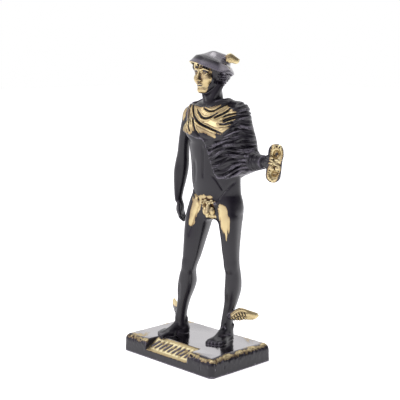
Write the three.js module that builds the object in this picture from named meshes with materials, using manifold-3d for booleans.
// A cast brass statuette on its plinth: a young god of travellers with a winged hat, a short
// cloak, a herald's wand and winged ankles. Figure and plinth are one casting.
// Units are millimetres and +Z is up. The origin is the centre of the plinth's underside, the
// front of the plinth faces -Y and the figure on it is turned a little towards +X.
import * as THREE from 'three';
import { mergeVertices } from 'three/addons/utils/BufferGeometryUtils.js';
import { edgeTable, triTable } from 'three/addons/objects/MarchingCubes.js';
import Module from 'manifold-3d';

// The plinth. Its top edge is rounded from EDGE_BLEND below and inside the edge.
const PLINTH_LENGTH = 68;
const PLINTH_DEPTH = 44.2;
const PLINTH_HEIGHT = 9.6;
const PLINTH_TAPER = 0.2;
const CORNER_RADIUS = 2.6;
const EDGE_BLEND = 3.8;

// The sloping label panel in the plinth's front edge, with one row of slanting strokes.
const PANEL_WIDTH = 32;
const PANEL_DROP = 5.4;
const PANEL_RUN = 9.5;
const PANEL_OFFSET = -0.05;
const STROKE_COUNT = 9;
const STROKE_WIDTH = 1;
const STROKE_DEPTH = 0.5;
const STROKE_SHARE = 0.5;
const STROKE_LEAN = 0.42;

// The figure's own height from the plinth to the tip of the hat, its place and its heading.
const FIGURE_HEIGHT = 151.1;
const FIGURE_X = 8.65;
const FIGURE_Y = 5.25;
const FIGURE_HEADING = 18;

// Sampling step of the figure's surface and the number of faces that it is reduced to.
const SAMPLE_STEP = 0.72;
const FIGURE_FACES = 8600;

// The figure is drawn in its own frame, MODEL_HEIGHT units tall: it faces -Y, its left is +X
// and the plinth's top is z = 0. One unit is about a millimetre.
const MODEL_HEIGHT = 151.1;
const UNIT = FIGURE_HEIGHT / MODEL_HEIGHT;

const { abs, atan2, ceil, cos, floor, max, min, sin, sqrt, PI } = Math;
const { clamp, degToRad, lerp, smoothstep } = THREE.MathUtils;

function norm(x, y, z = 0) {
  return sqrt(x * x + y * y + z * z);
}

// Every form below is a function of a point that gives its distance from the form's surface,
// negative inside. softMin and softMax join and cut with a fillet of size k.
function softMin(k, a, b) {
  const h = max(k - abs(a - b), 0);
  return min(a, b) - h * h / (4 * k);
}

function softMax(k, a, b) {
  return -softMin(k, -a, -b);
}

// Forms that are melted together with one fillet size.
function melt(k, ...forms) {
  return (x, y, z) => {
    let d = forms[0](x, y, z);
    for (let i = 1; i < forms.length; i++) d = softMin(k, d, forms[i](x, y, z));
    return d;
  };
}

// A form with others pressed into it.
function press(k, form, ...tools) {
  return (x, y, z) => {
    let d = form(x, y, z);
    for (const tool of tools) d = softMax(k, d, -tool(x, y, z));
    return d;
  };
}

// A tapered rod with round ends, from [x, y, z, radius] to [x, y, z, radius].
function rod([ax, ay, az, ar], [bx, by, bz, br]) {
  const [dx, dy, dz] = [bx - ax, by - ay, bz - az];
  const lengthSquared = dx * dx + dy * dy + dz * dz;
  return (x, y, z) => {
    const along = ((x - ax) * dx + (y - ay) * dy + (z - az) * dz) / lengthSquared;
    const t = min(max(along, 0), 1);
    return norm(x - ax - dx * t, y - ay - dy * t, z - az - dz * t) - ar - (br - ar) * t;
  };
}

// A string of rods through [x, y, z, radius] places.
function chain(places) {
  const rods = places.slice(1).map((place, i) => rod(places[i], place));
  return (x, y, z) => {
    let d = Infinity;
    for (const form of rods) d = min(d, form(x, y, z));
    return d;
  };
}

// An ellipsoid with its centre and three half sizes.
function egg([cx, cy, cz], [rx, ry, rz]) {
  return (x, y, z) => {
    const px = (x - cx) / rx;
    const py = (y - cy) / ry;
    const pz = (z - cz) / rz;
    const near = norm(px, py, pz);
    const slope = norm(px / rx, py / ry, pz / rz);
    return slope < 1e-9 ? -min(rx, ry, rz) : near * (near - 1) / slope;
  };
}

// A form that is only worked out near a ball round it: far away the ball's distance will do.
const NEAR = 3.5;
function inBall([cx, cy, cz], radius, form) {
  return (x, y, z) => {
    const far = norm(x - cx, y - cy, z - cz) - radius;
    return far > NEAR ? far : form(x, y, z);
  };
}

// A form drawn in a frame of its own, turned about Z, then X, then Y, and set down at a place.
function placed(form, at, { yaw = 0, pitch = 0, roll = 0 } = {}) {
  const turn = new THREE.Euler(degToRad(pitch), degToRad(roll), degToRad(yaw), 'ZXY');
  const m = new THREE.Matrix4().makeRotationFromEuler(turn).setPosition(...at).invert().elements;
  return (x, y, z) => form(
    m[0] * x + m[4] * y + m[8] * z + m[12],
    m[1] * x + m[5] * y + m[9] * z + m[13],
    m[2] * x + m[6] * y + m[10] * z + m[14]);
}

// A limb or trunk with level sections |x / a|^n + |y / b|^n = 1: ovals when the power n is 2,
// squarer above it. Each station is [z, centre x, centre y, a, b], and between stations the
// sections follow a smooth curve.
const COLUMN_STEP = 0.5;
function column(stations, power = 2) {
  const values = [1, 2, 3, 4].map((k) => {
    const curve = new THREE.SplineCurve(stations.map((s) => new THREE.Vector2(s[0], s[k])));
    return curve.getPoints(stations.length * 12);
  });
  const [low, high] = [stations[0][0], stations.at(-1)[0]];
  const count = ceil((high - low) / COLUMN_STEP) + 1;
  const atLevel = (points, z) => {
    const next = max(1, points.findIndex((p) => p.x >= z - 1e-9));
    const [a, b] = [points[next - 1], points[next]];
    return lerp(a.y, b.y, clamp((z - a.x) / (b.x - a.x), 0, 1));
  };
  const [centreX, centreY, halfWidth, halfDepth] = values.map((points) => {
    return Array.from({ length: count }, (_, i) => atLevel(points, min(low + i * COLUMN_STEP, high)));
  });
  return (x, y, z) => {
    const level = min(max((z - low) / COLUMN_STEP, 0), count - 1.001);
    const i = floor(level);
    const f = level - i;
    const a = lerp(halfWidth[i], halfWidth[i + 1], f);
    const b = lerp(halfDepth[i], halfDepth[i + 1], f);
    const px = (x - lerp(centreX[i], centreX[i + 1], f)) / a;
    const py = (y - lerp(centreY[i], centreY[i + 1], f)) / b;
    const away = norm(px, py);
    const slope = norm(px / a, py / b);
    const near = power === 2 ? away : (abs(px) ** power + abs(py) ** power) ** (1 / power);
    const side = slope < 1e-9 ? -min(a, b) : away * (near - 1) / slope;
    return softMax(2, side, max(low - z, z - high));
  };
}

// Trunk, from the fork of the legs to the base of the neck.
const trunk = column([
  [65, 0.1, 1.0, 9.5, 6.4], [69, 0.1, 0.9, 14.4, 8.4], [73, 0.5, 1.0, 14.7, 9.2],
  [79, 0.9, 0.4, 13.4, 8.5], [86, 0.7, 0.0, 13.5, 8.5], [94, 0.6, 0.2, 13.8, 8.9],
  [102, 0.5, 0.6, 14.8, 9.6], [110, 0.3, 1.0, 15.8, 10.0], [116, 0.0, 1.4, 15.2, 9.2],
  [121, -0.6, 1.8, 12.6, 7.4], [125.5, -1.4, 1.9, 8.4, 5.6]]);

// Legs, a little square in section: the right one steps forward and out, the left one carries
// the weight.
const LEG_POWER = 2.7;
const rightLeg = column([
  [3, -21.1, 1.7, 3.1, 3.1], [9, -20.9, 1.0, 2.9, 3.3], [14, -19.8, 0.4, 2.8, 3.2],
  [20, -18.1, -0.4, 3.2, 3.7], [25.5, -16.6, -1.0, 4.2, 4.5], [30, -15.5, -1.4, 4.5, 5.1],
  [35, -14.3, -2.9, 4.0, 4.5], [39, -12.9, -4.1, 3.7, 4.0], [45, -11.5, -3.7, 4.5, 4.8],
  [53, -10.4, -2.6, 5.4, 5.9], [61, -9.5, -1.0, 6.3, 7.0], [68, -8.6, 0.2, 6.5, 7.6],
  [76, -6.8, 0.8, 5.3, 6.6]], LEG_POWER);
const leftLeg = column([
  [3, 5.4, 3.4, 3.1, 3.1], [9, 5.8, 3.1, 2.9, 3.2], [15, 6.8, 2.9, 2.8, 3.1],
  [21, 8.5, 2.4, 3.3, 3.6], [27, 9.8, 1.6, 4.0, 4.5], [32, 10.5, 0.8, 4.0, 4.5],
  [37, 10.7, 0.0, 3.8, 4.0], [42, 10.5, -1.1, 3.8, 4.0], [48, 10.1, -1.4, 4.1, 4.7],
  [55, 9.9, -1.3, 4.6, 5.5], [62, 9.4, -0.7, 5.3, 6.5], [68, 8.8, 0.2, 5.9, 7.4],
  [76, 7.6, 0.8, 5.1, 6.6]], LEG_POWER);

// Muscles and joints that show on trunk and legs.
const CHEST = [
  egg([-7.2, -6.2, 110.5], [6.4, 3.4, 5.0]),
  egg([7.6, -6.2, 110.5], [6.4, 3.4, 5.0])];
const flesh = melt(1.6, ...CHEST,
  egg([-6.0, 6.0, 70.0], [6.2, 5.0, 6.6]),
  egg([6.6, 6.2, 70.0], [6.2, 5.0, 6.6]),
  egg([-12.9, -5.6, 40.2], [2.4, 2.2, 3.4]),
  egg([10.5, -3.0, 41.2], [2.4, 2.2, 3.4]),
  rod([-14.4, 1.2, 119.2, 3.6], [-6.0, 2.4, 122.2, 3.2]),
  rod([12.8, 1.2, 119.6, 4.0], [4.4, 2.4, 122.4, 3.2]));

// Furrows: middle of the belly, both groins and the small of the back.
const furrows = [
  rod([-2.9, -9.4, 104, 0.4], [-2.8, -8.8, 87, 0.5]),
  rod([-12.4, -5.6, 83, 0.4], [-5.8, -8.8, 74, 0.7]),
  rod([12.8, -5.4, 85, 0.4], [5.6, -8.8, 76, 0.7]),
  rod([0.6, 9.9, 92, 0.9], [0.6, 10.2, 78, 0.6]),
  rod([0.4, 12.4, 76, 0.4], [0.4, 10.6, 64, 1.4]),
];

// Loins, with a row of short curls above them.
const loins = melt(0.6,
  egg([-0.9, -8.3, 70.2], [1.7, 1.9, 2.5]),
  egg([2.6, -8.3, 70.2], [1.7, 1.9, 2.5]),
  rod([0.9, -9.4, 72.6, 1.15], [0.9, -10.5, 69.2, 1.0]),
  rod([0.9, -10.5, 69.2, 1.0], [0.9, -10.6, 67.6, 0.6]),
  ...[0, 1, 2, 3, 4].map((n) => {
    const at = [-2.6 + 1.75 * n, -8.9 - 0.25 * (1 - abs(n - 2)), 74.4 + 0.7 * (n % 2)];
    return egg(at, [1.15, 1.1, 1.15]);
  }));

// Right arm, hanging with its hand against the thigh.
const rightArm = column([
  [71, -22.8, 2.9, 1.9, 2.6], [74, -23.4, 3.2, 2.0, 2.5], [78, -23.5, 3.9, 2.6, 2.8],
  [83, -23.3, 4.7, 3.4, 3.3], [88, -22.9, 5.2, 3.9, 3.7], [93, -22.2, 5.3, 3.7, 3.7],
  [98, -21.2, 4.6, 3.1, 3.5], [104, -19.9, 3.4, 2.9, 3.6], [110, -18.1, 2.4, 3.2, 3.9],
  [115, -16.2, 1.7, 3.6, 4.3], [119, -15.0, 1.2, 3.7, 4.3], [122.2, -13.8, 1.1, 2.6, 3.4]]);

function hangingHand() {
  const palm = egg([-22.0, 2.6, 68.4], [1.9, 3.1, 4.3]);
  const fingers = [0, 1, 2, 3].map((i) => {
    const y = 0.4 + i * 1.45;
    const reach = 60.9 + abs(i - 1.3) * 0.7;
    return chain([
      [-21.7, y, 67.0, 0.95], [-21.0, y + 0.2, 63.9, 0.85], [-19.9, y + 0.5, reach + 0.8, 0.75]]);
  });
  const thumb = chain([[-21.6, 0.4, 70.4, 1.0], [-20.6, -1.0, 67.6, 0.9], [-20.0, -1.2, 65.4, 0.75]]);
  return melt(0.5, palm, thumb, ...fingers);
}

// Left arm under the cloak, bent forward at the elbow.
const SHOULDER = [12.8, 1.2, 119.4, 3.9];
const ELBOW = [18.2, 3.6, 95.0, 4.0];
const WRIST = [34.2, -12.2, 97.2, 2.5];
const leftArm = chain([SHOULDER, ELBOW, WRIST]);

// A foot in its own frame: the heel over the origin, toes towards -Y, big toe on the -X side
// when side is 1. Below the tread its outline runs straight down into the plinth.
const TREAD = 1.3;
const SOLE = PANEL_DROP / UNIT;
function foot(side) {
  const toes = [0, 1, 2, 3, 4].map((i) => {
    const x = side * (-3.0 + i * 1.75);
    const tip = -15.9 + 0.12 * i * i;
    const r = i === 0 ? 1.25 : 1.05 - i * 0.04;
    return chain([[x * 0.9, -11.0, 1.3, r], [x, tip + 2.6, 1.25, r * 0.95], [x, tip + r, 0.8, r * 0.9]]);
  });
  const body = melt(2,
    egg([0, 0.1, 2.4], [2.7, 3.3, 3.4]),
    rod([0, -0.6, 6.2, 2.9], [-side * 0.9, -11.6, 1.3, 1.4]),
    egg([side * 0.4, -9.8, 1.0], [4.6, 4.4, 1.9]),
    rod([side * 1.2, -1, 1.6, 1.7], [side * 2.8, -9.5, 1.0, 1.5]));
  const ankle = [
    egg([side * 2.5, 0.2, 7.4], [1.0, 1.3, 1.3]), egg([-side * 2.2, 0, 8.2], [1.0, 1.3, 1.3])];
  const whole = melt(0.9, melt(1, body, ...ankle), ...toes);
  return (x, y, z) => max(whole(x, y, max(z, TREAD)), -SOLE - z);
}

// A wing's sections from root to tip: share of the span, then middle, half height and half
// thickness as shares of the wing's height and thickness.
const BLADE = [
  [0, -0.05, 0.10, 0.36], [0.14, -0.06, 0.30, 0.46], [0.25, 0.05, 0.43, 0.5], [0.36, 0.09, 0.5, 0.5],
  [0.5, 0.07, 0.43, 0.44], [0.65, -0.01, 0.37, 0.36], [0.8, -0.08, 0.3, 0.3],
  [0.92, -0.08, 0.18, 0.22], [1, -0.08, 0.06, 0.16]];

// A leaf-shaped wing in its own frame: the root at the origin, the tip along +X, a rib along
// its upper edge.
function wing([span, height, thickness]) {
  const blade = column(BLADE.map(([u, middle, half, thick]) => {
    return [u * span, middle * height, 0, half * height, thick * thickness];
  }));
  const rib = chain(BLADE.slice(0, -1).map(([u, middle, half, thick]) => {
    return [u * span, 0, (middle + 0.86 * half) * height, 0.42 * thick * thickness + 0.16];
  }));
  return melt(0.2, (x, y, z) => blade(z, y, x), rib);
}

// The head in its own frame: eyes at z = 0, face towards -Y, 20 units from chin to crown.
function head() {
  const skull = melt(2.2,
    egg([0, 1.2, 2.6], [6.9, 8.0, 7.4]),
    egg([0, -2.2, -3.2], [5.2, 5.4, 6.6]),
    egg([0, -5.4, -8.4], [2.3, 2.0, 1.8]));
  const features = melt(0.7,
    rod([0, -7.2, 1.2, 0.6], [0, -8.9, -3.4, 0.85]),
    egg([0, -7.9, -3.9], [1.6, 1.1, 0.8]),
    rod([-4.2, -5.7, 1.7, 0.6], [-1.0, -7.3, 1.5, 0.6]),
    rod([4.2, -5.7, 1.7, 0.6], [1.0, -7.3, 1.5, 0.6]),
    egg([0, -7.1, -5.7], [1.9, 1.0, 0.6]),
    egg([0, -7.0, -6.8], [1.5, 1.0, 0.7]),
    egg([-3.4, -4.6, -3.0], [2.1, 2.0, 2.2]),
    egg([3.4, -4.6, -3.0], [2.1, 2.0, 2.2]));
  const face = press(0.5, melt(0.9, skull, features),
    egg([-2.6, -7.9, 0.0], [1.5, 1.3, 0.9]),
    egg([2.6, -7.9, 0.0], [1.5, 1.3, 0.9]),
    rod([-1.6, -8.1, -6.2, 0.2], [1.6, -8.1, -6.2, 0.2]));
  const eyes = [-2.6, 2.6].map((x) => egg([x, -6.1, 0], [1.3, 0.9, 0.8]));
  return melt(0.2, face, ...eyes);
}

// Hair under the brim: a cap behind the face with rows of round curls. Angles run from the
// left temple round the back to the right temple. Locks lie over the brow.
const CURL_RADIUS = 1.45;
function hair() {
  const cap = egg([0, 3.0, 1.6], [8.2, 9.6, 7.0]);
  const faceSide = (x, y, z) => y + 2.2 + 0.25 * (z + 4);
  const rows = [
    { z: 2.8, across: 9.2, along: 11.8, count: 15 },
    { z: 1.0, across: 9.4, along: 12.2, count: 15 },
    { z: -0.9, across: 8.7, along: 10.7, count: 14 },
    { z: -2.7, across: 7.5, along: 8.2, count: 12 },
    { z: -4.3, across: 6.4, along: 6.4, count: 10 },
    { z: -5.9, across: 5.7, along: 5.0, count: 8 }];
  const curls = rows.flatMap(({ z, across, along, count }, row) => {
    const span = PI * (1.2 - 0.09 * row);
    return Array.from({ length: count }, (_, i) => {
      const angle = PI / 2 + span * ((i + 0.5) / count - 0.5);
      const at = [across * cos(angle), 1.8 + along * sin(angle), z + 0.4 * (i % 2)];
      return inBall(at, CURL_RADIUS, egg(at, [CURL_RADIUS, CURL_RADIUS, CURL_RADIUS]));
    });
  });
  const mass = melt(1.5, cap, ...curls);
  const back = (x, y, z) => softMax(1.2, mass(x, y, z), -faceSide(x, y, z));
  const fringe = [-4, -3, -2, -1, 0, 1, 2, 3, 4].map((i) => {
    const [x, y, z] = [i * 1.35, -7.35 + 0.2 * i * i, 5.6 - 0.1 * i * i];
    const lean = i < 0 ? -0.75 : 0.75;
    return chain([
      [x - lean * 0.6, y + 1.0, z + 1.5, 0.62], [x, y - 0.35, z, 0.66],
      [x + lean, y + 0.1, z - 1.2, 0.5], [x + lean * 0.5, y + 0.3, z - 1.9, 0.3]]);
  });
  return melt(0.3, back, ...fringe);
}

// The travelling hat in its own frame: a blunt crown, set back on a flat brim near z = 0 whose
// edge is bent down, and whose back is bent up.
const BRIM_RADIUS = 11.4;
const BRIM_INNER = 9.3;
const BRIM_DROP = 3.5;
const BACK_LIFT = 2.2;
const BACK_LIFT_END = 9;
const CROWN_BACK = 1.9;
const CROWN_TOP = 6.7;

// A point's place on the brim: radius, share of the way out over the bent edge, and height above
// the flat of the brim.
function brimPlace(x, y, z) {
  const radius = norm(x, y);
  const outward = min(max((radius - BRIM_INNER) / (BRIM_RADIUS - BRIM_INNER), 0), 1);
  const back = THREE.MathUtils.smoothstep(y, 0, BACK_LIFT_END);
  return { radius, outward, height: z - BACK_LIFT * back * outward };
}

function hat() {
  const flat = rod([4, 0, 0.2, 0.8], [BRIM_INNER, 0, 0, 0.65]);
  const lip = rod([BRIM_INNER, 0, 0, 0.65], [BRIM_RADIUS, 0, -BRIM_DROP, 0.45]);
  const brim = (x, y, z) => {
    const { radius, height } = brimPlace(x, y, z);
    return min(flat(radius, 0, height), lip(radius, 0, height));
  };
  const top = melt(3.0,
    rod([0, CROWN_BACK - 2.8, CROWN_TOP - 4.5, 4.0], [0, CROWN_BACK + 2.4, CROWN_TOP - 4.1, 4.0]),
    egg([0, CROWN_BACK - 0.6, -0.6], [7.4, 7.8, 3.2]),
    egg([0, -2.0, -1.4], [8.0, 7.6, 4.6]));
  const crown = (x, y, z) => max(top(x, y, z), -0.8 - z);
  return melt(1.8, brim, crown);
}

const HEAD_AT = [-3.9, 0.6, 140];
const HEAD_YAW = -15;
const HAT_AT = [-1.8, 1.4, 144.7];
const HAT_YAW = -46;
const HAT_TILT = -22.5;

// The wings at the sides of the hat: span, height and thickness, and for each the place of its
// root from the middle of the hat and its turn.
const HAT_WING = [9, 4.9, 1.9];
const HAT_WING_ROOTS = [
  { side: 1, root: [5.9, -0.5, 2.6], yaw: 40, roll: 8 },
  { side: -1, root: [-6.1, -0.5, 2.0], yaw: 118, roll: 14 }];
const hatWings = HAT_WING_ROOTS.map(({ side, root, yaw, roll }) => {
  const at = HAT_AT.map((value, n) => value + root[n]);
  const flat = wing(HAT_WING);
  return inBall(at, 11, placed((x, y, z) => flat(x, side * y, z), at, { yaw, roll }));
});

// The herald's wand in its own frame, front towards -Y: a rounded tablet with two hollows, two
// snakes that cross on it above and below the grip, and the fist and fingertips that hold it.
const TABLET = [9.5, 3.7, 2.0];
const STRANDS = [
  [
    [-1.5, 8.2], [-2.6, 5.6], [-2.3, 2.6], [-0.3, 0.1],
    [2.2, -1.2], [2.9, -3.8], [2.2, -6.4], [0.3, -8.2]],
  [
    [1.5, 8.3], [2.9, 5.8], [3.0, 2.8], [1.3, 0.4],
    [-1.6, -1.4], [-2.7, -4.0], [-2.2, -6.6], [-0.3, -8.3]]];
const SNAKE_RADIUS = 0.8;
function wand() {
  const [halfHeight, halfWidth, halfDepth] = TABLET;
  const tablet = (x, y, z) => {
    const rise = max(abs(z) - (halfHeight - halfWidth), 0);
    return softMax(1.8, norm(x, rise) - halfWidth, abs(y) - halfDepth);
  };
  const hollows = [egg([0.6, -2.6, 3.5], [1.7, 2.0, 2.2]), egg([0.4, -2.6, -5.2], [1.7, 1.8, 1.1])];
  const snakes = STRANDS.map((way, n) => {
    const lift = n === 0 ? 0.35 : -0.35;
    const curve = new THREE.SplineCurve(way.map(([x, z]) => new THREE.Vector2(x, z)));
    return chain(curve.getPoints(14).map(({ x, y: z }) => {
      return [x, -1.75 - lift * cos(0.37 * z), z, SNAKE_RADIUS];
    }));
  });
  const heads = [1, -1].map((side) => egg([side * 1.45, -1.9, 8.3], [1.2, 1.1, 1.0]));
  const plates = [
    egg([-1.2, -2.0, -3.1], [1.25, 0.9, 1.1]), egg([1.4, -2.0, -2.9], [1.25, 0.9, 1.1]),
    egg([0.1, -2.0, 6.4], [1.25, 0.9, 1.1]), egg([0.1, -1.6, -7.6], [1.7, 0.9, 1.0])];
  const palm = egg([-3.2, 1.0, 0.2], [2.2, 2.2, 3.4]);
  const fingers = [0.3, 1.6, 2.9].map((z) => {
    return chain([[-3.9, -0.3, z, 0.8], [-3.0, -1.8, z, 0.75], [-1.5, -2.5, z - 0.2, 0.65]]);
  });
  const relief = melt(0.2, press(0.4, tablet, ...hollows), ...snakes, ...heads, ...plates, palm);
  return melt(0.15, relief, ...fingers);
}

// The cloak. It is the trunk and the left arm grown by the thickness of the cloth, with the
// space between them webbed over, cut off along its hem and scored with folds.
const CLOTH = 1.3;
const FOLDS = 17;
const FOLD_DEPTH = 1.15;
const PIN = [-17, 124.5];
const SIDE = [17, 131, 89];
const CUFF = 20.4;
const FAR_FROM_CLOTH = 12;

// The neckline at the back is a circle in plan and height round the neck.
const NECKLINE = { at: [-2, 2, 130], radius: 6.6 };

// Creases of the cowl on the chest: [x, z] places on a smooth curve, then width and depth.
const COWL_LINES = [
  [[[-3.4, 122.4], [-0.9, 121.2], [1.9, 121.0], [4.2, 122.2], [8.6, 125.3]], 0.5, 0.9],
  [[[-8.6, 122.6], [-5.6, 119.5], [-3.3, 117.8], [-1.0, 117.4], [1.6, 118.2], [5.4, 120.6]], 0.6, 1.1],
  [[[2.8, 117.7], [5.3, 118.8], [8.0, 120.3], [10.6, 122.2]], 0.6, 1.1],
  [[[7.2, 117.9], [9.6, 119.1], [12.2, 119.7], [15.4, 120.3]], 0.5, 0.9],
  [[[-10.9, 124.4], [-10.6, 121.6], [-8.7, 118.2], [-5.3, 115.6], [-1.7, 113.8], [1.4, 112.7],
    [4.9, 111.6], [9.4, 110.6]], 0.6, 1.3],
  [[[8.2, 115.7], [9.6, 116.9], [12.2, 117.9], [14.6, 118.6], [17.2, 118.6]], 0.9, 1.3],
  [[[-9.4, 118.0], [-7.7, 114.9], [-6.2, 111.9], [-4.7, 109.9], [-2.9, 107.5]], 0.5, 0.9],
  [[[-11.2, 116.4], [-10.4, 113.4], [-8.7, 110.2]], 0.45, 0.7],
  [[[-12.9, 121.4], [-12.9, 117.4], [-12.4, 112.4]], 0.5, 0.7],
  [[[6.4, 115.0], [9.9, 114.8], [13.4, 116.0]], 0.6, 0.8],
  [[[9.6, 109.0], [12.2, 110.9], [15.0, 112.7], [17.8, 113.8]], 0.9, 1.2],
  [[[4.0, 104.8], [7.6, 107.0], [12.0, 108.9], [17.6, 110.6]], 0.8, 1.1],
];
const cowlCreases = COWL_LINES.flatMap(([places, width, depth]) => {
  const curve = new THREE.SplineCurve(places.map(([x, z]) => new THREE.Vector2(x, z)));
  const points = curve.getPoints(3 * places.length);
  const count = points.length - 1;
  return points.slice(1).map((end, n) => {
    const start = points[n];
    return { start, run: end.clone().sub(start), from: n / count, to: (n + 1) / count, width, depth };
  });
});

// Depth of the deepest crease of the cowl at a place: depth e^-(d / width)^2 at a distance d
// from its line, shallower towards both ends.
function creaseAt(x, z) {
  let deepest = 0;
  for (const { start, run, from, to, width, depth } of cowlCreases) {
    const t = clamp(((x - start.x) * run.x + (z - start.y) * run.y) / run.lengthSq(), 0, 1);
    const away = norm(x - start.x - run.x * t, z - start.y - run.y * t) / width;
    const along = lerp(from, to, t);
    const fade = min(1, 5 * min(along, 1 - along) + 0.15);
    deepest = max(deepest, depth * fade * Math.exp(-away * away));
  }
  return deepest;
}

// Which fold a point lies on, counted from 0 at the neckline. Every fold fans out from the pin
// on the right shoulder, sags across the chest and climbs to the left arm, where the folds lie
// evenly spaced one below the other.
function foldAt(x, z) {
  const across = clamp((x - PIN[0]) / (SIDE[0] - PIN[0]), 0.02, 1);
  const fan = atan2(PIN[1] - z, max(x - PIN[0], 0.4)) / (PI / 2);
  const stack = (SIDE[1] - z) / (SIDE[1] - SIDE[2]);
  const sag = 0.16 * across * (1 - across);
  const share = lerp(fan, stack, smoothstep(across, 0, 1)) - sag;
  return FOLDS * (share + 0.022 * sin(0.24 * x + 9 * share) + 0.01 * sin(0.5 * x - 14 * share));
}

// Ridge and groove across a fold: round on top, narrow at the bottom.
function foldProfile(turns) {
  return (0.5 + 0.5 * cos(2 * PI * turns)) ** 2;
}

// The hem crosses the chest below the right arm, drops beside the navel and runs level under
// the left forearm. At the back it hangs to the hips.
function hemHeight(x, y) {
  const step = 20 * (1 - smoothstep(x, -3, 6.4));
  const front = 87 + step + 0.4 * max(-x - 5, 0) + 0.3 * max(x - 10, 0);
  const back = 80 + 0.5 * max(x, 0) - 0.2 * min(x, 0);
  return lerp(front, back, smoothstep(y, 0, 4));
}

function cloak() {
  const shoulders = melt(3,
    rod([-13.0, 1.2, 119.8, 3.8], [-5.5, 2.6, 122.8, 3.2]),
    rod([12.4, 1.2, 119.4, 4.2], [4.6, 2.4, 122.2, 3.4]));
  const side = rod([14, 2, 108, 4.2], [15.5, 1.5, 94, 4.2]);
  const under = melt(4, melt(2, trunk, ...CHEST, shoulders), rod(SHOULDER, ELBOW), side);
  const foreArm = rod(ELBOW, WRIST);
  const [ax, ay, az] = ELBOW;
  const forward = new THREE.Vector3(...WRIST).sub(new THREE.Vector3(...ELBOW)).normalize();
  return (x, y, z) => {
    const grown = under(x, y, z) - CLOTH;
    if (grown > FAR_FROM_CLOTH) return grown - FAR_FROM_CLOTH / 2;
    const turns = foldAt(x, z);
    const behind = smoothstep(y, 2, 6);
    const hang = 0.24 * (x + 3) * (1.25 - 0.012 * (z - 80)) + 0.15 * sin(0.12 * z);
    const above = smoothstep(z + 0.35 * min(8 - x, 0), 104, 109);
    const onChest = above * (1 - smoothstep(x, 13, 18)) * (1 - behind);
    const front = lerp(foldProfile(turns), 0.12 * foldProfile(turns), onChest);
    const atSide = 1 - 0.45 * smoothstep(x, 14, 20) * smoothstep(z, 104, 110);
    const groove = lerp(front, 0.9 * foldProfile(hang), behind) * atSide;
    const gather = smoothstep(norm(x - PIN[0], z - PIN[1]), 5, 13);
    const depth = FOLD_DEPTH * gather * (0.75 + 0.25 * sin(0.33 * x + 1.9 * turns));
    const along = (x - ax) * forward.x + (y - ay) * forward.y + (z - az) * forward.z;
    const sleeve = foreArm(x, y, z) - 1.0 + 0.6 * foldProfile(0.36 * along);
    const crease = onChest > 0.02 && abs(grown) < 4 ? creaseAt(x, z) * onChest : 0;
    const cloth = softMin(4, grown + depth * groove + crease - 0.25, sleeve);
    const hem = (hemHeight(x, y) - z) * 0.6;
    const edge = -14.6 - 0.05 * (PIN[1] - z) - x;
    const throat = 3.2 * (0.6 - turns) * smoothstep(x, -14, -8);
    const [nx, ny, nz] = NECKLINE.at;
    const neckline = lerp(throat, NECKLINE.radius - norm(x - nx, y - ny, z - nz), behind);
    return softMax(0.35, cloth, max(hem, edge, neckline, along - CUFF));
  };
}

const WAND_AT = [39.6, -14.3, 97.4];
const WAND_TURN = { yaw: 24, roll: 6 };

// The neck, and its two slanting muscles from behind the ears to the hollow of the throat.
const NECK = [[-1.9, 2.2, 122.5, 5.4], [-2.6, 1.8, 133.5, 4.7]];
const NECK_CORDS = [
  [[2.6, 0.8, 133.5, 1.5], [-1.6, -3.0, 125.2, 1.4]],
  [[-6.8, 0.2, 133.5, 1.5], [-3.2, -3.2, 125.2, 1.4]]];

// The wings at the ankles: span, height and thickness, then root and turn.
const ANKLE_WINGS = [
  { middle: [15, 4, 14], sizes: [16.9, 6.9, 2.8], at: [8.4, -0.5, 13.7], turn: { yaw: 38 } },
  { middle: [-26, 6, 9.5], sizes: [16.9, 9.6, 2.8], at: [-21.2, 1.8, 5.0],
    turn: { yaw: 140, roll: -44 } }];

// The whole figure in its own frame.
function figure() {
  const body = press(1.1, melt(2.4, trunk, rightLeg, leftLeg, flesh), ...furrows);
  const neck = melt(2.4, rod(...NECK), ...NECK_CORDS.map((cord) => rod(...cord)));
  const torso = melt(1.8, body, neck, rightArm);
  const hand = inBall([-21, 2.2, 67], 8, hangingHand());
  const limbs = melt(0.8, torso, hand, leftArm);
  const base = melt(0.4, limbs, inBall([0.9, -8.5, 71.5], 7, loins));
  const feet = melt(1,
    inBall([4.5, -4, 1], 17, placed(foot(1), [5.9, 4.4, 0], { yaw: -8 })),
    inBall([-25, -5, 1], 17, placed(foot(-1), [-20.3, 3.2, 0], { yaw: -32 })));
  const headForm = inBall(HEAD_AT, 13, placed(head(), HEAD_AT, { yaw: HEAD_YAW }));
  const looseHair = inBall(HEAD_AT, 14, placed(hair(), HEAD_AT, { yaw: HEAD_YAW }));
  const hatForm = inBall(HAT_AT, 13, placed(hat(), HAT_AT, { yaw: HAT_YAW, pitch: HAT_TILT }));
  const underBrim = placed((x, y, z) => {
    const { outward, height } = brimPlace(x, y, z);
    return height + BRIM_DROP * outward;
  }, HAT_AT, { yaw: HAT_YAW, pitch: HAT_TILT });
  const hairForm = (x, y, z) => softMax(0.4, looseHair(x, y, z), underBrim(x, y, z));
  const ankleWings = ANKLE_WINGS.map(({ middle, sizes, at, turn }) => {
    return inBall(middle, 12, placed(wing(sizes), at, turn));
  });
  const wandForm = inBall(WAND_AT, 12, placed(wand(), WAND_AT, WAND_TURN));
  const covered = melt(0.3, base, cloak());
  const upper = melt(0.35, melt(0.5, covered, headForm), melt(0.4, hairForm, hatForm));
  const small = melt(0.3, upper, ...hatWings, wandForm);
  return melt(1, small, feet, melt(0.3, ...ankleWings));
}

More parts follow.
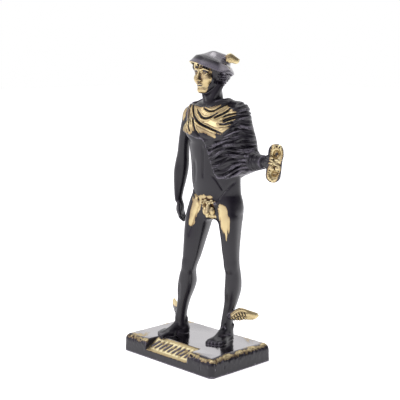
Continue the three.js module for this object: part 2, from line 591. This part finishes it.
// Surface of a form inside a box, as a merged triangle list, by marching cubes. A block of
// cells whose middle lies more than CLEAR half blocks from the surface is passed over.
const BLOCK = 4;
const CLEAR = 3;
function surface(form, box, step) {
  const size = box.getSize(new THREE.Vector3());
  const counts = [size.x, size.y, size.z].map((s) => ceil(s / step / BLOCK) * BLOCK + 1);
  const [nx, ny, nz] = counts;
  const values = new Float32Array(nx * ny * nz).fill(NaN);
  const index = (i, j, k) => i + nx * (j + ny * k);
  const valueAt = (i, j, k) => {
    const id = index(i, j, k);
    if (Number.isNaN(values[id])) {
      values[id] = form(box.min.x + i * step, box.min.y + j * step, box.min.z + k * step) || 1e-6;
    }
    return values[id];
  };
  const corners = [
    [0, 0, 0], [1, 0, 0], [1, 1, 0], [0, 1, 0], [0, 0, 1], [1, 0, 1], [1, 1, 1], [0, 1, 1]];
  const edges = [
    [0, 1], [1, 2], [2, 3], [3, 0], [4, 5], [5, 6], [6, 7], [7, 4], [0, 4], [1, 5], [2, 6], [3, 7]];
  const points = [];
  const triangles = [];
  const made = new Map();
  const crossing = (ca, cb) => {
    const [ia, ib] = [index(...ca), index(...cb)];
    const key = min(ia, ib) * 3 + [1, nx, nx * ny].indexOf(abs(ia - ib));
    if (!made.has(key)) {
      const t = values[ia] / (values[ia] - values[ib]);
      made.set(key, points.length / 3);
      for (let a = 0; a < 3; a++) {
        points.push(box.min.getComponent(a) + step * lerp(ca[a], cb[a], t));
      }
    }
    return made.get(key);
  };
  const cell = (i, j, k) => {
    const at = corners.map(([a, b, c]) => [i + a, j + b, k + c]);
    let code = 0;
    at.forEach((corner, n) => {
      if (valueAt(...corner) > 0) code |= 1 << n;
    });
    if (edgeTable[code] === 0) return;
    for (let n = code * 16; triTable[n] !== -1; n++) {
      const [a, b] = edges[triTable[n]];
      triangles.push(crossing(at[a], at[b]));
    }
  };
  const reach = BLOCK * step / 2;
  for (let k = 0; k < nz - 1; k += BLOCK) {
    for (let j = 0; j < ny - 1; j += BLOCK) {
      for (let i = 0; i < nx - 1; i += BLOCK) {
        const middle = [i, j, k].map((n, a) => box.min.getComponent(a) + n * step + reach);
        if (abs(form(...middle)) > reach * CLEAR) continue;
        for (let c = 0; c < BLOCK; c++) {
          for (let b = 0; b < BLOCK; b++) {
            for (let a = 0; a < BLOCK; a++) cell(i + a, j + b, k + c);
          }
        }
      }
    }
  }
  return { points, triangles };
}

// The triangles of the outer skin: the connected set that reaches furthest along +X, without
// the walls of any closed pocket left inside where two forms meet.
function outerSkin({ points, triangles }) {
  const parent = Array.from({ length: points.length / 3 }, (_, i) => i);
  const root = (i) => {
    while (parent[i] !== i) i = parent[i] = parent[parent[i]];
    return i;
  };
  for (let f = 0; f < triangles.length; f += 3) {
    parent[root(triangles[f])] = root(triangles[f + 1]);
    parent[root(triangles[f + 1])] = root(triangles[f + 2]);
  }
  let furthest = 0;
  for (let i = 0; i < points.length; i += 3) if (points[i] > points[furthest]) furthest = i;
  const skin = root(furthest / 3);
  return { points, triangles: triangles.filter((i) => root(i) === skin) };
}

// A queue that gives back the item with the least value first.
class Queue {
  items = [];

  get length() {
    return this.items.length;
  }

  push(item) {
    const { items } = this;
    let n = items.push(item) - 1;
    while (n > 0) {
      const up = (n - 1) >> 1;
      if (items[up].value <= item.value) break;
      items[n] = items[up];
      n = up;
    }
    items[n] = item;
  }

  pop() {
    const { items } = this;
    const first = items[0];
    const last = items.pop();
    if (items.length === 0) return first;
    let n = 0;
    for (;;) {
      let next = 2 * n + 1;
      if (next >= items.length) break;
      if (next + 1 < items.length && items[next + 1].value < items[next].value) next++;
      if (items[next].value >= last.value) break;
      items[n] = items[next];
      n = next;
    }
    items[n] = last;
    return first;
  }
}

// Limits on a join: a small cost for long edges keeps flat places even, a corner must be sharp
// enough to be solved for, a point moves no further than MOVE_LIMIT, and no face next to a join
// turns past the angle with cosine TURN_LIMIT or shrinks below AREA_LIMIT.
const LENGTH_COST = 1e-5;
const CORNER_LIMIT = 1e-7;
const MOVE_LIMIT = 3;
const TURN_LIMIT = 0.25;
const AREA_LIMIT = 1e-3;

// Reduces a closed triangle list to a number of faces by joining, again and again, the two
// neighbouring points whose join moves the surface least, by the sum of the squared distances
// to the planes of the faces that meet there.
function reduce({ points, triangles }, faces) {
  const pointCount = points.length / 3;
  const vertexFaces = Array.from({ length: pointCount }, () => new Set());
  const quadrics = Array.from({ length: pointCount }, () => new Float64Array(10));
  const alive = new Uint8Array(triangles.length / 3).fill(1);
  const version = new Uint32Array(pointCount);
  const pointAt = (i) => new THREE.Vector3(points[3 * i], points[3 * i + 1], points[3 * i + 2]);
  const setPoint = (i, { x, y, z }) => {
    points[3 * i] = x;
    points[3 * i + 1] = y;
    points[3 * i + 2] = z;
  };
  const plane = (ia, ib, ic) => {
    const [ax, ay, az, bx, by, bz, cx, cy, cz] = [ia, ib, ic].flatMap((i) => {
      return [points[3 * i], points[3 * i + 1], points[3 * i + 2]];
    });
    const [ux, uy, uz, vx, vy, vz] = [bx - ax, by - ay, bz - az, cx - ax, cy - ay, cz - az];
    const [nx, ny, nz] = [uy * vz - uz * vy, uz * vx - ux * vz, ux * vy - uy * vx];
    const area = norm(nx, ny, nz);
    const scale = area > 0 ? 1 / area : 0;
    return [nx * scale, ny * scale, nz * scale, -(nx * ax + ny * ay + nz * az) * scale, area];
  };
  for (let f = 0; f < alive.length; f++) {
    const ids = triangles.slice(3 * f, 3 * f + 3);
    const [a, b, c, d, area] = plane(...ids);
    const terms = [a * a, a * b, a * c, a * d, b * b, b * c, b * d, c * c, c * d, d * d];
    for (const id of ids) {
      vertexFaces[id].add(f);
      for (let n = 0; n < 10; n++) quadrics[id][n] += terms[n] * area;
    }
  }
  const cost = (q, x, y, z) => q[0] * x * x + 2 * q[1] * x * y + 2 * q[2] * x * z + 2 * q[3] * x
    + q[4] * y * y + 2 * q[5] * y * z + 2 * q[6] * y + q[7] * z * z + 2 * q[8] * z + q[9];
  const best = (i, j) => {
    const q = quadrics[i].map((v, n) => v + quadrics[j][n]);
    const m = new THREE.Matrix3().set(q[0], q[1], q[2], q[1], q[4], q[5], q[2], q[5], q[7]);
    const [start, end] = [pointAt(i), pointAt(j)];
    const middle = new THREE.Vector3().addVectors(start, end).multiplyScalar(0.5);
    const options = [middle, start, end];
    if (abs(m.determinant()) > CORNER_LIMIT) {
      const solved = new THREE.Vector3(-q[3], -q[6], -q[8]).applyMatrix3(m.invert());
      if (solved.distanceTo(middle) < MOVE_LIMIT) options.push(solved);
    }
    let [place, least] = [middle, Infinity];
    for (const option of options) {
      const value = cost(q, option.x, option.y, option.z);
      if (value < least) [place, least] = [option, value];
    }
    const value = max(least, 0) + LENGTH_COST * start.distanceToSquared(end);
    return { i, j, q, place, value, at: version[i] + version[j] };
  };
  const ring = (i) => {
    const found = new Set();
    for (const f of vertexFaces[i]) for (let n = 0; n < 3; n++) found.add(triangles[3 * f + n]);
    found.delete(i);
    return found;
  };
  const flips = (i, j, place) => {
    for (const f of vertexFaces[i]) {
      if (vertexFaces[j].has(f)) continue;
      const ids = triangles.slice(3 * f, 3 * f + 3);
      const before = plane(...ids);
      const keep = pointAt(i);
      setPoint(i, place);
      const after = plane(...ids);
      setPoint(i, keep);
      const turn = before[0] * after[0] + before[1] * after[1] + before[2] * after[2];
      if (turn < TURN_LIMIT || after[4] < AREA_LIMIT) return true;
    }
    return false;
  };
  const queue = new Queue();
  for (let i = 0; i < pointCount; i++) {
    for (const j of ring(i)) if (j > i) queue.push(best(i, j));
  }
  let left = alive.length;
  while (left > faces && queue.length > 0) {
    const { i, j, q, place, at } = queue.pop();
    if (at !== version[i] + version[j] || min(vertexFaces[i].size, vertexFaces[j].size) === 0) continue;
    const [ringI, ringJ] = [ring(i), ring(j)];
    const shared = [...ringI].filter((n) => ringJ.has(n));
    if (!ringI.has(j) || shared.length !== 2) continue;
    if (flips(i, j, place) || flips(j, i, place)) continue;
    for (const f of vertexFaces[j]) {
      if (vertexFaces[i].has(f)) {
        alive[f] = 0;
        left--;
        for (let n = 0; n < 3; n++) vertexFaces[triangles[3 * f + n]].delete(f);
      } else {
        for (let n = 0; n < 3; n++) if (triangles[3 * f + n] === j) triangles[3 * f + n] = i;
        vertexFaces[i].add(f);
      }
    }
    vertexFaces[j].clear();
    setPoint(i, place);
    quadrics[i] = q;
    version[i] += 1;
    version[j] += 1;
    for (const n of ring(i)) queue.push(best(min(i, n), max(i, n)));
  }
  return triangles.filter((_, n) => alive[floor(n / 3)]);
}

// A geometry of the listed triangles, with unused points left out. Points stay apart or shared
// as their numbers say, however near one another they lie.
function geometryOf(points, triangles) {
  const numbers = new Map();
  const used = [];
  for (const i of triangles) {
    if (numbers.has(i)) continue;
    numbers.set(i, used.length / 3);
    used.push(points[3 * i], points[3 * i + 1], points[3 * i + 2]);
  }
  const geometry = new THREE.BufferGeometry();
  geometry.setAttribute('position', new THREE.Float32BufferAttribute(used, 3));
  return geometry.setIndex(triangles.map((i) => numbers.get(i)));
}

// The figure's reach in its own frame, with some room to spare.
const RIGHT_REACH = 37;
const BACK_REACH = 19;
function figureGeometry() {
  const box = new THREE.Box3(
    new THREE.Vector3(-RIGHT_REACH, WAND_AT[1] - 6.6, -SOLE - 1),
    new THREE.Vector3(WAND_AT[0] + 6.8, BACK_REACH, HAT_AT[2] + CROWN_TOP + 3));
  const mesh = outerSkin(surface(figure(), box, SAMPLE_STEP));
  const geometry = geometryOf(mesh.points, reduce(mesh, FIGURE_FACES));
  geometry.scale(UNIT, UNIT, UNIT);
  geometry.rotateZ(degToRad(FIGURE_HEADING));
  return geometry.translate(FIGURE_X, FIGURE_Y, PLINTH_HEIGHT);
}

// The plinth's block: rounded rectangles at rising heights, drawn in as they rise. The curve of
// the top edge touches side and top at EDGE_BLEND from the corner: for a difference d between the
// two distances, from the side and from the top, the greater is -(EDGE_BLEND - |d|)^2 / (4 EDGE_BLEND).
function plinthGeometry() {
  const cornerSteps = 5;
  const edgeSteps = 6;
  const levels = [[0, 0]];
  for (let i = 0; i <= edgeSteps; i++) {
    const d = EDGE_BLEND * (1 - 2 * i / edgeSteps);
    const greater = -((EDGE_BLEND - abs(d)) ** 2) / (4 * EDGE_BLEND);
    const [fromSide, fromTop] = d > 0 ? [greater, greater - d] : [greater + d, greater];
    const z = PLINTH_HEIGHT + fromTop;
    levels.push([z, PLINTH_TAPER * z / PLINTH_HEIGHT - fromSide]);
  }
  const around = 4 * (cornerSteps + 1);
  const points = [];
  for (const [z, inset] of levels) {
    for (let n = 0; n < around; n++) {
      const quarter = floor(n / (cornerSteps + 1));
      const angle = (PI / 2) * (quarter + (n % (cornerSteps + 1)) / cornerSteps);
      const [sx, sy] = [quarter === 0 || quarter === 3 ? 1 : -1, quarter < 2 ? 1 : -1];
      points.push(sx * (PLINTH_LENGTH / 2 - inset - CORNER_RADIUS) + CORNER_RADIUS * cos(angle));
      points.push(sy * (PLINTH_DEPTH / 2 - inset - CORNER_RADIUS) + CORNER_RADIUS * sin(angle), z);
    }
  }
  const triangles = [];
  for (let l = 0; l < levels.length - 1; l++) {
    for (let n = 0; n < around; n++) {
      const [a, b] = [l * around + n, l * around + (n + 1) % around];
      triangles.push(a, b, b + around, a, b + around, a + around);
    }
  }
  const last = (levels.length - 1) * around;
  for (let n = 1; n < around - 1; n++) triangles.push(0, n + 1, n, last, last + n, last + n + 1);
  return geometryOf(points, triangles);
}

// A plain geometry closed up by welding the points that its faces meet in.
const WELD = 1e-4;
function closed(geometry) {
  geometry.deleteAttribute('normal');
  geometry.deleteAttribute('uv');
  return mergeVertices(geometry, WELD);
}

// The wedge cut out of the front top edge for the panel. Its floor slopes down to the front.
const PANEL_SLOPE = atan2(PANEL_DROP, PANEL_RUN);
const FRONT = -PLINTH_DEPTH / 2 + PLINTH_TAPER;
function panelCutter() {
  const margin = 2;
  const wedge = new THREE.Shape();
  wedge.moveTo(-PANEL_RUN, PLINTH_HEIGHT);
  wedge.lineTo(0, PLINTH_HEIGHT - PANEL_DROP);
  wedge.lineTo(margin, PLINTH_HEIGHT - PANEL_DROP - margin * Math.tan(PANEL_SLOPE));
  wedge.lineTo(margin, PLINTH_HEIGHT + margin);
  wedge.lineTo(-PANEL_RUN, PLINTH_HEIGHT + margin);
  const geometry = new THREE.ExtrudeGeometry(wedge, { depth: PANEL_WIDTH, bevelEnabled: false });
  geometry.rotateX(PI / 2).rotateZ(-PI / 2);
  return closed(geometry.translate(PANEL_OFFSET + PANEL_WIDTH / 2, FRONT, 0));
}

// One row of slanting strokes across the panel, all alike.
function strokeCutters() {
  const pitch = PANEL_WIDTH / (STROKE_COUNT + 1);
  const slopeLength = PANEL_RUN / cos(PANEL_SLOPE);
  return Array.from({ length: STROKE_COUNT }, (_, n) => {
    const stroke = new THREE.BoxGeometry(STROKE_WIDTH, slopeLength * STROKE_SHARE, 2 * STROKE_DEPTH);
    stroke.rotateZ(-STROKE_LEAN);
    stroke.translate((n - (STROKE_COUNT - 1) / 2) * pitch, slopeLength / 2, 0);
    stroke.rotateX(PANEL_SLOPE);
    return closed(stroke.translate(PANEL_OFFSET, FRONT, PLINTH_HEIGHT - PANEL_DROP));
  });
}

const wasm = await Module();
wasm.setup();

// A solid for joining and cutting, from a closed geometry.
function solidOf({ attributes, index }) {
  return new wasm.Manifold(new wasm.Mesh({
    numProp: 3,
    vertProperties: new Float32Array(attributes.position.array),
    triVerts: new Uint32Array(index.array),
  }));
}

function statuette() {
  let solid = solidOf(plinthGeometry()).subtract(solidOf(panelCutter()));
  for (const cutter of strokeCutters()) solid = solid.subtract(solidOf(cutter));
  const mesh = solid.add(solidOf(figureGeometry())).getMesh();
  const { points, triangles } = outerSkin({
    points: Array.from(mesh.vertProperties),
    triangles: Array.from(mesh.triVerts),
  });
  return geometryOf(points, triangles);
}

// Cast brass under a black patina, rubbed bright on the raised parts.
const patinatedBrass = new THREE.MeshStandardMaterial({ color: 0x3a3436, roughness: 0.38, metalness: 0.9 });
const mercury = new THREE.Mesh(statuette(), patinatedBrass);
mercury.name = 'mercury_statuette';

const model = new THREE.Group();
model.add(mercury);

export default model;
